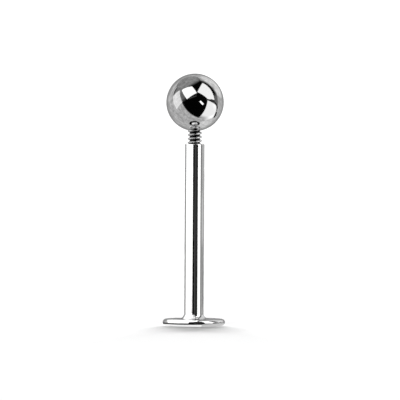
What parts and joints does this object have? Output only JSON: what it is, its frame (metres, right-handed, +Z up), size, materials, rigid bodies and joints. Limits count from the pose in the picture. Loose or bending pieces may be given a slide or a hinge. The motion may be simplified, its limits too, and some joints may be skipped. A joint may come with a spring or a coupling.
{
  "type": "labret stud",
  "caption": "Polished steel labret stud: a straight post on a flat round disc, with a ball end whose threaded pin screws into the post, here partly unscrewed.",
  "frame": {"origin": "centre of the disc's underside, where the stud rests", "axes": "+Z up along the post's axis, +X to the right in the picture, -Y towards the viewer"},
  "size_m": [0.0052, 0.0052, 0.0209],
  "materials": {
    "post_steel": "surgical steel, turned and mirror polished",
    "ball_steel": "surgical steel, mirror polished ball, bright cut thread"
  },
  "bodies": {
    "post": {"labret_post": "post_steel"},
    "ball": {"ball_end": "ball_steel"}
  },
  "joints": [
    {"name": "ball_unscrews", "type": "slide", "parent": "post", "child": "ball", "axis": [0, 0, 1], "range_m": [-0.00112, 0.002]}
  ]
}
